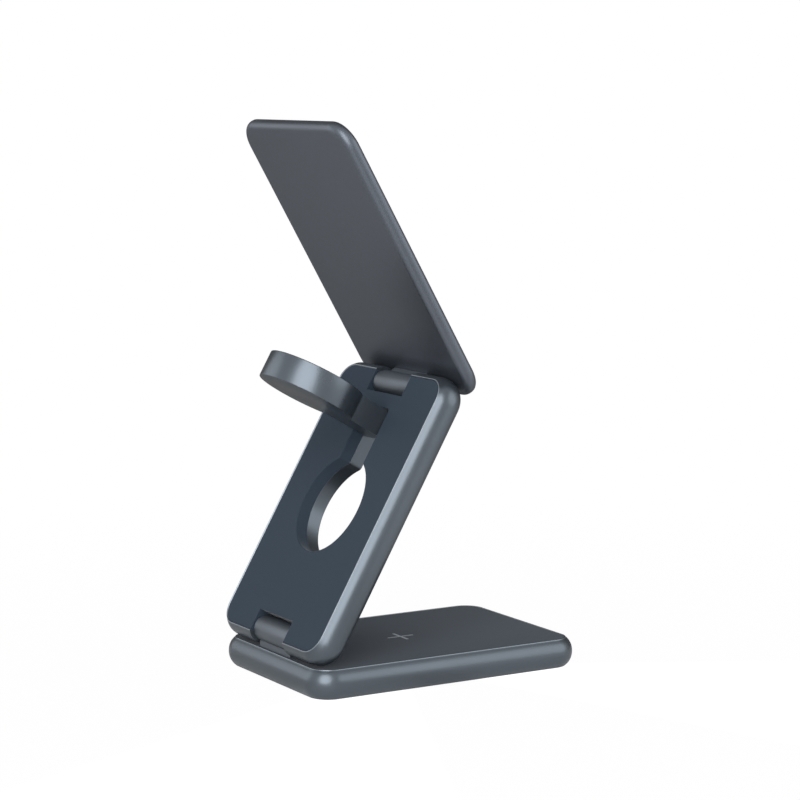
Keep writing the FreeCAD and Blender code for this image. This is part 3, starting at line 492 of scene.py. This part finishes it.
def drum(radius, low, high, x=0.0, y=0.0, sides=32):
    """Upright round bar between two levels."""
    bm = bmesh.new()
    bmesh.ops.create_cone(
        bm, cap_ends=True, segments=sides, radius1=radius, radius2=radius, depth=high - low
    )
    bmesh.ops.translate(bm, vec=(x, y, (low + high) / 2), verts=bm.verts)
    return bm


def bar(radius, y0, y1, x=0.0, z=0.0, sides=32):
    """Round bar along Y."""
    bm = drum(radius, y0, y1, sides=sides)
    quarter = Matrix.Rotation(math.radians(-90.0), 3, "X")
    bmesh.ops.rotate(bm, cent=(0.0, 0.0, 0.0), matrix=quarter, verts=bm.verts)
    bmesh.ops.translate(bm, vec=(x, 0.0, z), verts=bm.verts)
    return bm


def flipped(bm, axis):
    """Mirror image of a drawn mesh, as a new one: across, or at the plate's other end."""
    twin = bm.copy()
    factor = Vector((-1.0, 1.0, 1.0)) if axis == "X" else Vector((1.0, -1.0, 1.0))
    bmesh.ops.scale(twin, vec=factor, verts=twin.verts)
    if axis == "X":
        bmesh.ops.translate(twin, vec=(PLATE_LENGTH, 0.0, 0.0), verts=twin.verts)
    bmesh.ops.reverse_faces(twin, faces=twin.faces[:])
    return twin


def four_corners(bm):
    """A drawn mesh and its mirror images on the other side and at the plate's other end."""
    across = flipped(bm, "Y")
    return [bm, across, flipped(bm, "X"), flipped(across, "X")]


def join(bm, others, how):
    """Adds the other closed meshes to the first, or cuts them out of it."""
    for other in others:
        pair = []
        for drawn in (bm, other):
            mesh = bpy.data.meshes.new("drawn")
            drawn.to_mesh(mesh)
            drawn.free()
            mesh.materials.append(None)
            mesh.materials.append(None)
            one = bpy.data.objects.new("drawn", mesh)
            bpy.context.scene.collection.objects.link(one)
            pair.append(one)
        tool = pair[0].modifiers.new("join", "BOOLEAN")
        tool.operation = how
        tool.solver = "EXACT"
        tool.object = pair[1]
        bpy.context.view_layer.update()
        graph = bpy.context.evaluated_depsgraph_get()
        joined = bpy.data.meshes.new_from_object(pair[0].evaluated_get(graph))
        bm = bmesh.new()
        bm.from_mesh(joined)
        for one in pair:
            mesh = one.data
            bpy.data.objects.remove(one)
            bpy.data.meshes.remove(mesh)
        bpy.data.meshes.remove(joined)
    return bm


def break_edges(bm, chosen, width, segments=3):
    """Rounds the chosen edges."""
    bmesh.ops.bevel(
        bm, geom=chosen, offset=width, segments=segments, profile=0.5, affect="EDGES",
        material=-1, clamp_overlap=True,
    )


def arch_steps(inset, rise, steps=9):
    """Insets and rises of an arched side, in equal turns from upright towards the flat face."""
    radius = (inset ** 2 + rise ** 2) / (2 * inset)
    turn = math.asin(rise / radius) / steps
    pairs = []
    for i in range(steps):
        a, b = turn * i, turn * (i + 1)
        pairs.append((radius * (math.cos(a) - math.cos(b)), radius * (math.sin(b) - math.sin(a))))
    return pairs


def step_in(bm, face, inset, rise, material=None):
    """Insets a face by one step and lifts it; the strip between takes a material."""
    strip = bmesh.ops.inset_region(
        bm, faces=[face], thickness=inset, depth=rise, use_even_offset=True, use_boundary=True
    )["faces"]
    if material is not None:
        for one in strip:
            one.material_index = material


def soft_edged_plate(half, open_side):
    """Plate with arched sides, and a cut rim, recess and ledge on its open side.

    The open side is +1 or -1 along Z. Returns the mesh and its two flat faces by side.
    """
    bm = bmesh.new()
    bmesh.ops.create_grid(bm, x_segments=1, y_segments=1, size=0.5)
    bmesh.ops.scale(bm, vec=(PLATE_LENGTH, 2 * PLATE_HALF_WIDTH, 1.0), verts=bm.verts)
    bmesh.ops.translate(bm, vec=(PLATE_LENGTH / 2, 0.0, -EDGE_BAND / 2), verts=bm.verts)
    bmesh.ops.bevel(
        bm, geom=bm.verts[:], offset=PLAN_CORNER, segments=18, profile=0.5, affect="VERTICES",
        material=-1,
    )
    raised = bmesh.ops.extrude_face_region(bm, geom=bm.faces[:])["geom"]
    top = [part for part in raised if isinstance(part, bmesh.types.BMVert)]
    bmesh.ops.translate(bm, vec=(0.0, 0.0, EDGE_BAND), verts=top)
    bmesh.ops.recalc_face_normals(bm, faces=bm.faces[:])
    faces = {round(face.normal.z): face for face in bm.faces if abs(face.normal.z) > 0.9}
    arch = half - EDGE_BAND / 2
    for inset, rise in arch_steps(EDGE_INSET, arch):
        step_in(bm, faces[-open_side], inset, rise)
    face = faces[open_side]
    for inset, rise in arch_steps(EDGE_INSET - LIP_SLANT, arch - LIP_HEIGHT):
        step_in(bm, face, inset, rise)
    step_in(bm, face, LIP_SLANT, LIP_HEIGHT, material=1)
    step_in(bm, face, RIM_WIDTH - RIM_CHAMFER, 0.0, material=1)
    step_in(bm, face, RIM_CHAMFER, -RIM_CHAMFER, material=1)
    step_in(bm, face, 0.0, RIM_CHAMFER - PANEL_DEPTH)
    step_in(bm, face, WALL_INSET - EDGE_INSET - RIM_WIDTH, 0.0)
    return bm, faces


def add_base_shell():
    """Metal tray of the base: arched sides, cut rim, foot recess, posts and the socket's mouth."""
    bm, faces = soft_edged_plate(PLATE_HALF, 1)
    step_in(bm, faces[1], 0.0, CAVITY_FLOOR - PANEL_UNDER)
    step_in(bm, faces[-1], FOOT_MARGIN, 0.0)
    step_in(bm, faces[-1], 0.0, -FOOT_RECESS)
    posts = [
        drum(POST_RADIUS, SUNK, top, x, side * y)
        for xs, y, top in (
            (BASE_SCREW_XS, LUG_SCREW_Y, -BASE_FOOT_HALF),
            (BOARD_SCREW_XS, BOARD_SCREW_Y, BOARD_POST_TOP),
        )
        for x in xs
        for side in (-1, 1)
    ]
    bm = join(bm, posts, "UNION")
    ring = drum(COIL_RING_OUTER, SUNK, COIL_RING_TOP, EARBUD_X, sides=MEDIUM)
    inside = drum(COIL_RING_INNER, SUNK - PAST, COIL_RING_TOP + PAST, EARBUD_X, sides=MEDIUM)
    bm = join(bm, [join(ring, [inside], "DIFFERENCE")], "UNION")
    neck = NECK_HALF + NECK_GAP
    pocket = block(
        NECK_START_X - NECK_GAP, WALL_INSET + PAST, -neck, neck,
        -BASE_FOOT_HALF - NECK_GAP, PLATE_HALF + PAST,
    )
    mouth = block(
        PLATE_LENGTH - WALL_INSET - PAST, PLATE_LENGTH + PAST,
        -MOUTH_HALF_WIDTH, MOUTH_HALF_WIDTH, -MOUTH_HALF_HEIGHT, MOUTH_HALF_HEIGHT,
    )
    along_x = [e for e in mouth.edges if abs(e.verts[0].co.x - e.verts[1].co.x) > 1.0]
    break_edges(mouth, along_x, MOUTH_HALF_HEIGHT - 0.01, 10)
    bm = join(bm, [pocket, mouth], "DIFFERENCE")
    looks = (ANODISED, CUT_EDGE)
    finish(bm, "base_shell", "base", looks, ON_BASE, ("base_frame",))


def add_phone_shell():
    """Metal shell of the phone plate, open towards the phone, with the hinge neck's slot."""
    bm, faces = soft_edged_plate(PHONE_HALF, -1)
    step_in(bm, faces[-1], 0.0, PANEL_DEPTH - PHONE_HALF - PHONE_BACK)
    neck = NECK_HALF + NECK_GAP
    slot = block(
        NECK_START_X - NECK_GAP, NECK_END_X + NECK_GAP, -neck, neck,
        PHONE_BACK - PHONE_FOOT - NECK_GAP, PHONE_HALF + PAST,
    )
    bm = join(bm, [slot], "DIFFERENCE")
    looks = (ANODISED_BACK_PAINTED_LIGHTER, CUT_EDGE)
    finish(bm, "phone_shell", "upper", looks, ON_UPPER, ("upper_shell",))


def keyhole_block(grow, z0, z1):
    """Block with the keyhole's outline, grown all round: arcs are spun and runs extruded."""
    radius = HOLE_RADIUS + grow
    half = SLOT_HALF + grow
    fillet = THROAT_ROUND - grow
    rounded = fillet > 0.05
    reach_y = half + fillet if rounded else half
    reach = radius + fillet if rounded else radius
    reach_x = math.sqrt(reach ** 2 - reach_y ** 2)
    throat = math.atan2(reach_y, reach_x)
    corner = SLOT_CORNER + grow
    end = SLOT_END + grow
    bm = bmesh.new()
    tip = bm.verts.new((HOLE_X - radius, 0.0, z0))

    def spin(centre, angle, steps):
        last = bmesh.ops.spin(
            bm, geom=[tip], cent=(*centre, z0), axis=(0.0, 0.0, 1.0), angle=angle, steps=steps,
            use_merge=False,
        )["geom_last"]
        return [part for part in last if isinstance(part, bmesh.types.BMVert)][0]

    def run(x, y):
        made = bmesh.ops.extrude_vert_indiv(bm, verts=[tip])["verts"][0]
        made.co = (x, y, z0)
        return made

    tip = spin((HOLE_X, 0.0), throat - math.pi, 56)
    if rounded:
        tip = spin((HOLE_X + reach_x, reach_y), math.pi / 2 - throat, 6)
    tip = run(end - corner, half)
    tip = spin((end - corner, half - corner), -math.pi / 2, 6)
    run(end, 0.0)
    bmesh.ops.mirror(bm, geom=bm.verts[:] + bm.edges[:], merge_dist=0.001, axis="Y")
    bmesh.ops.remove_doubles(bm, verts=bm.verts[:], dist=0.001)
    bmesh.ops.contextual_create(bm, geom=bm.edges[:])
    raised = bmesh.ops.extrude_face_region(bm, geom=bm.faces[:])["geom"]
    top = [part for part in raised if isinstance(part, bmesh.types.BMVert)]
    bmesh.ops.translate(bm, vec=(0.0, 0.0, z1 - z0), verts=top)
    bmesh.ops.recalc_face_normals(bm, faces=bm.faces[:])
    return bm


def add_middle_shell():
    """Metal frame of the middle plate: keyhole, two hinge notches, walls, posts and bores."""
    bm, faces = soft_edged_plate(PLATE_HALF, 1)
    step_in(bm, faces[1], 0.0, CAVITY_FLOOR - PANEL_UNDER)
    side = NOTCH_HALF + NOTCH_WALL
    notch_wall = block(
        WALL_INSET - ROOT, NOTCH_DEPTH + NOTCH_WALL, -side, side, SUNK, COLLAR_FOOT
    )
    keyhole_wall = keyhole_block(KEYHOLE_WALL, SUNK, COLLAR_FOOT)
    added = [keyhole_wall, notch_wall, flipped(notch_wall, "X")]
    for y in BRACKET_SCREW_YS:
        added += four_corners(drum(POST_RADIUS, SUNK, BRACKET_POST_TOP, BRACKET_SCREW_X, y))
    watch_post = block(
        WATCH_PIVOT_X - WATCH_POST_HALF, WATCH_PIVOT_X + WATCH_POST_HALF, *WATCH_POST_YS,
        SUNK, WATCH_POST_TOP,
    )
    added += [watch_post, flipped(watch_post, "Y")]
    for x in WATCH_BOARD_XS:
        added.append(drum(POST_RADIUS, SUNK, WATCH_BOARD_POST_TOP, x, WATCH_BOARD_Y))
    bm = join(bm, added, "UNION")
    cutters = [keyhole_block(0.0, -THROUGH, THROUGH)]
    for depth, z0 in ((NOTCH_DEPTH - NOTCH_LIP, -THROUGH), (NOTCH_DEPTH, NOTCH_LIP_TOP)):
        notch = block(-PAST, depth, -NOTCH_HALF, NOTCH_HALF, z0, THROUGH)
        cutters += [notch, flipped(notch, "X")]
    cutters += four_corners(block(
        BRACKET_START_X, WALL_INSET + PAST, *BRACKET_YS, CAVITY_FLOOR, PANEL_UNDER + PAST
    ))
    cutters += four_corners(bar(SHAFT_HOLE, NOTCH_HALF - PAST, SHAFT_HOLE_END_Y, HINGE_INSET))
    pin_end = WATCH_POST_YS[1] + PAST
    cutters.append(bar(PIN_HOLE, -pin_end, pin_end, WATCH_PIVOT_X))
    # Room for the panel's collar, which reaches deeper at the barrel notches as painted shade in
    # the crevice.
    lined = NOTCH_HALF + PANEL_GAP
    lining = block(
        NOTCH_DEPTH - ROOT, NOTCH_DEPTH + COLLAR_WALL + PANEL_GAP, -lined, lined,
        BARREL_COLLAR_FOOT - PANEL_GAP, COLLAR_FOOT + PAST,
    )
    cutters += [lining, flipped(lining, "X")]
    bm = join(bm, cutters, "DIFFERENCE")
    looks = (ANODISED, CUT_EDGE)
    finish(bm, "middle_shell", "middle", looks, ON_MIDDLE, ("middle_frame",))


def add_watch_puck():
    """Turned puck with its arm and knuckle, the seat of the charging face and the coil's cup."""
    bm = drum(PUCK_RADIUS, -PUCK_HALF, PUCK_HALF, -ARM_REACH, sides=FINEST)
    break_edges(bm, [edge for edge in bm.edges if edge.calc_face_angle(0.0) > 1.0], PUCK_ROUND)
    arm = block(-ARM_REACH, PUCK_HALF, -ARM_HALF, ARM_HALF, -PUCK_HALF, PUCK_HALF)
    far = [edge for edge in arm.edges if all(abs(v.co.x - PUCK_HALF) < 0.01 for v in edge.verts)]
    far = [edge for edge in far if abs(edge.verts[0].co.y - edge.verts[1].co.y) > 1.0]
    break_edges(arm, far, PUCK_HALF - 0.01, 16)
    bm = join(bm, [arm], "UNION")
    seat = drum(FACE_RADIUS, FACE_SEAT, PUCK_HALF + PAST, -ARM_REACH, sides=FINE)
    cup = drum(CUP_RADIUS, CUP_FLOOR, FACE_SEAT + PAST, -ARM_REACH, sides=FINE)
    pedestal = drum(PEDESTAL_RADIUS, CUP_FLOOR - PAST, PEDESTAL_TOP, -ARM_REACH, sides=MEDIUM)
    cup = join(cup, [pedestal], "DIFFERENCE")
    magnet_hole = drum(MAGNET_HOLE, CUP_FLOOR, PEDESTAL_TOP + PAST, -ARM_REACH, sides=MEDIUM)
    cup = join(cup, [magnet_hole], "UNION")
    pin_end = ARM_HALF + PAST
    bm = join(bm, [cup, seat, bar(PIN_HOLE, -pin_end, pin_end)], "DIFFERENCE")
    finish(bm, "watch_puck", "watch", (TURNED,), ON_WATCH, ("watch_housing",))


def add_hinge_lug(name, node, body, place, axis_z, foot_end, foot_z0, foot_z1, screw_xs):
    """Cast lug: rounded barrel on a neck, with the foot that is screwed inside the plate."""
    barrel = bar(BARREL_RADIUS, -BARREL_HALF, BARREL_HALF, HINGE_INSET, axis_z, sides=96)
    rims = [edge for edge in barrel.edges if edge.calc_face_angle(0.0) > 1.0]
    break_edges(barrel, rims, BARREL_ROUND, 5)
    neck = block(NECK_START_X, NECK_END_X, -NECK_HALF, NECK_HALF, foot_z0, axis_z)
    foot = block(NECK_START_X, foot_end, -NECK_HALF, NECK_HALF, foot_z0, foot_z1)
    bm = join(neck, [foot, barrel], "UNION")
    shaft_bore = bar(SHAFT_BORE, SHAFT_START_Y, BARREL_HALF + PAST, HINGE_INSET, axis_z)
    bores = [shaft_bore, flipped(shaft_bore, "Y")]
    bores += [
        drum(LUG_SCREW_HOLE, foot_z0 - PAST, foot_z1 + PAST, x, side * LUG_SCREW_Y, sides=24)
        for x in screw_xs
        for side in (-1, 1)
    ]
    bm = join(bm, bores, "DIFFERENCE")
    finish(bm, name, body, (CAST_ZINC,), place, (node,))


def add_plus_mark():
    """Grey ink that fills the plus-shaped groove, which marks the earbud spot."""
    arm, half = PLUS_SPAN / 2, PLUS_BAR / 2
    top = PLUS_FLOOR + INK_THICKNESS
    along = block(EARBUD_X - arm, EARBUD_X + arm, -half, half, PLUS_FLOOR, top)
    across = block(EARBUD_X - half, EARBUD_X + half, -arm, arm, PLUS_FLOOR, top)
    bm = join(along, [across], "UNION")
    finish(bm, "plus_mark_ink", "base", (INK,), ON_BASE)


def add_socket_contacts():
    """Gold contacts on both faces of the socket's tongue."""
    bm = bmesh.new()
    middle = SOCKET_END_X - SOCKET_LENGTH + TONGUE_BLOCK + CONTACT_MARGIN + CONTACT_SIZE[0] / 2
    for side in (-1, 1):
        for i in range(CONTACT_COUNT):
            y = (i - (CONTACT_COUNT - 1) / 2) * CONTACT_PITCH
            made = bmesh.ops.create_cube(bm, size=1.0)["verts"]
            bmesh.ops.scale(bm, vec=CONTACT_SIZE, verts=made)
            bmesh.ops.translate(bm, vec=(middle, y, side * CONTACT_HEIGHT), verts=made)
    finish(bm, "socket_contacts", "base", (CONTACT_GOLD,), ON_BASE)


# Studio


def add_camera():
    """Camera at the photograph's angle."""
    camera = bpy.data.cameras.new("camera")
    camera.sensor_width = 36.0
    camera.lens = CAMERA_LENS
    camera.clip_end = 20.0
    seat = bpy.data.objects.new("camera", camera)
    bpy.context.scene.collection.objects.link(seat)
    yaw, pitch, roll = (math.radians(angle) for angle in CAMERA_TURN)
    turn = Matrix.Rotation(-yaw, 4, "Z") @ Matrix.Rotation(math.pi / 2 - pitch, 4, "X")
    seat.matrix_world = Matrix.Translation(CAMERA_PLACE) @ turn @ Matrix.Rotation(-roll, 4, "Z")
    bpy.context.scene.camera = seat


def seen_directly(tree):
    """1 where the camera, a reflection or a clear surface sees something, 0 for its light."""
    path = put(tree, "ShaderNodeLightPath")
    camera = path.outputs["Is Camera Ray"]
    seen = camera
    for kind in ("Is Glossy Ray", "Is Transmission Ray"):
        seen = put(tree, "ShaderNodeMath", {
            0: seen, 1: path.outputs[kind],
        }, operation="MAXIMUM").outputs[0]
    return seen, camera


def side_of_room(tree, direction, side=DARK_SIDE, start=0.2, end=0.85):
    """1 where a direction points to the given side of the studio, falling to 0 away from it."""
    level = put(tree, "ShaderNodeVectorMath", {
        0: direction, 1: (1.0, 1.0, 0.0),
    }, operation="MULTIPLY")
    unit = put(tree, "ShaderNodeVectorMath", {0: level.outputs[0]}, operation="NORMALIZE")
    toward = put(tree, "ShaderNodeVectorMath", {
        0: unit.outputs[0], 1: side,
    }, operation="DOT_PRODUCT")
    return put(tree, "ShaderNodeMapRange", {
        "Value": toward.outputs["Value"], "From Min": start, "From Max": end,
    }, interpolation_type="SMOOTHSTEP").outputs[0]


def add_floor():
    """Pale paper floor that keeps a faint shadow; for reflections it glows as the studio's lower
    half, with painted light: darker on one side and painted pools under the lamps.
    """
    bm = bmesh.new()
    bmesh.ops.create_grid(bm, x_segments=1, y_segments=1, size=FLOOR_HALF)
    mesh = bpy.data.meshes.new("floor")
    bm.to_mesh(mesh)
    bm.free()
    floor = bpy.data.objects.new("floor", mesh)
    bpy.context.scene.collection.objects.link(floor)
    material, tree = blank_material("white_floor_paper")
    place = put(tree, "ShaderNodeTexCoord").outputs["Object"]
    fibre = put(tree, "ShaderNodeTexNoise", {
        "Vector": place, "Scale": 1.0 / (0.8 * MM), "Detail": 3.0,
    })
    paper = put(tree, "ShaderNodeMix", {
        "Factor": fibre.outputs["Fac"], 6: tint("#F1F1F1"), 7: tint("#F5F5F5"),
    }, data_type="RGBA")
    diffuse = put(tree, "ShaderNodeBsdfDiffuse", {"Color": paper.outputs[2]})
    seen, camera = seen_directly(tree)
    away = put(tree, "ShaderNodeVectorMath", {0: place}, operation="LENGTH").outputs["Value"]
    dark = side_of_room(tree, place)
    # Share of glow over the lit paper: nearly all of it for the camera, less beside the charger
    # for reflections, so that they keep its shadow.
    for_camera = put(tree, "ShaderNodeMapRange", {
        "Value": away, "From Min": 0.1, "From Max": 0.35, "To Min": 0.985, "To Max": 1.0,
    })
    lit_side = put(tree, "ShaderNodeMapRange", {
        "Value": away, "From Min": 0.05, "From Max": 0.15, "To Min": 0.2, "To Max": 0.5,
    })
    mirrored = put(tree, "ShaderNodeMapRange", {
        "Value": dark, "To Min": lit_side.outputs[0], "To Max": 0.92,
    })
    share = put(tree, "ShaderNodeMapRange", {
        "Value": camera, "To Min": mirrored.outputs[0], "To Max": for_camera.outputs[0],
    })
    share = put(tree, "ShaderNodeMath", {0: seen, 1: share.outputs[0]}, operation="MULTIPLY")
    level = put(tree, "ShaderNodeMapRange", {
        "Value": dark, "To Min": FLOOR_SEEN, "To Max": FLOOR_SEEN_DARK,
    })
    # Painted pools of lamp light, glowing in the floor under the front lamps.
    for side, gain in PAINTED_LAMP_POOLS:
        painted_pool = side_of_room(tree, place, side, 0.82, 1.0)
        level = put(tree, "ShaderNodeMath", {
            0: painted_pool, 1: gain, 2: level.outputs[0],
        }, operation="MULTIPLY_ADD")
    level = put(tree, "ShaderNodeMath", {0: level.outputs[0], 1: camera}, operation="MAXIMUM")
    glow = put(tree, "ShaderNodeEmission", {
        "Color": (1.0, 1.0, 1.0, 1.0), "Strength": level.outputs[0],
    })
    both = put(tree, "ShaderNodeMixShader", {
        0: share.outputs[0], 1: diffuse.outputs[0], 2: glow.outputs[0],
    })
    put(tree, "ShaderNodeOutputMaterial", {"Surface": both.outputs[0]})
    mesh.materials.append(material)


def add_world():
    """White behind everything; as light it is softer, and darker on one side of the studio."""
    world = bpy.data.worlds.new("studio")
    bpy.context.scene.world = world
    world.use_nodes = True
    tree = world.node_tree
    tree.nodes.clear()
    seen, camera = seen_directly(tree)
    dark = side_of_room(tree, put(tree, "ShaderNodeTexCoord").outputs["Generated"])
    mirrored = put(tree, "ShaderNodeMapRange", {
        "Value": dark, "To Min": SKY_SEEN, "To Max": SKY_SEEN_DARK,
    })
    level = put(tree, "ShaderNodeMapRange", {
        "Value": seen, "To Min": SKY_SHED, "To Max": mirrored.outputs[0],
    })
    level = put(tree, "ShaderNodeMath", {0: level.outputs[0], 1: camera}, operation="MAXIMUM")
    back = put(tree, "ShaderNodeBackground", {
        "Color": (1.0, 1.0, 1.0, 1.0), "Strength": level.outputs[0],
    })
    put(tree, "ShaderNodeOutputWorld", {"Surface": back.outputs[0]})


def add_softbox(name, direction, width, height, power):
    """Oval lamp aimed at the middle of the charger."""
    lamp = bpy.data.lights.new(name, "AREA")
    lamp.shape = "ELLIPSE"
    lamp.size = width
    lamp.size_y = height
    lamp.energy = power
    target = Vector(LAMP_TARGET)
    place = target + Vector(direction).normalized() * LAMP_DISTANCE
    seat = bpy.data.objects.new(name, lamp)
    bpy.context.scene.collection.objects.link(seat)
    aim = (target - place).to_track_quat("-Z", "Y").to_matrix().to_4x4()
    seat.matrix_world = Matrix.Translation(place) @ aim


add_base_shell()
add_middle_shell()
add_phone_shell()
add_watch_puck()
add_hinge_lug(
    "base_lug", "base_hinge_lug", "base", ON_BASE, BASE_AXIS,
    BASE_FOOT_END, -BASE_FOOT_HALF, BASE_FOOT_HALF, BASE_SCREW_XS,
)
add_hinge_lug(
    "phone_lug", "top_hinge_lug", "upper", ON_UPPER, PHONE_AXIS,
    PHONE_FOOT_END, PHONE_BACK - PHONE_FOOT, PHONE_BACK, PHONE_SCREW_XS,
)
add_plus_mark()
add_socket_contacts()

bpy.context.scene.view_settings.view_transform = "Standard"
add_camera()
add_floor()
add_world()
for softbox in SOFTBOXES:
    add_softbox(*softbox)
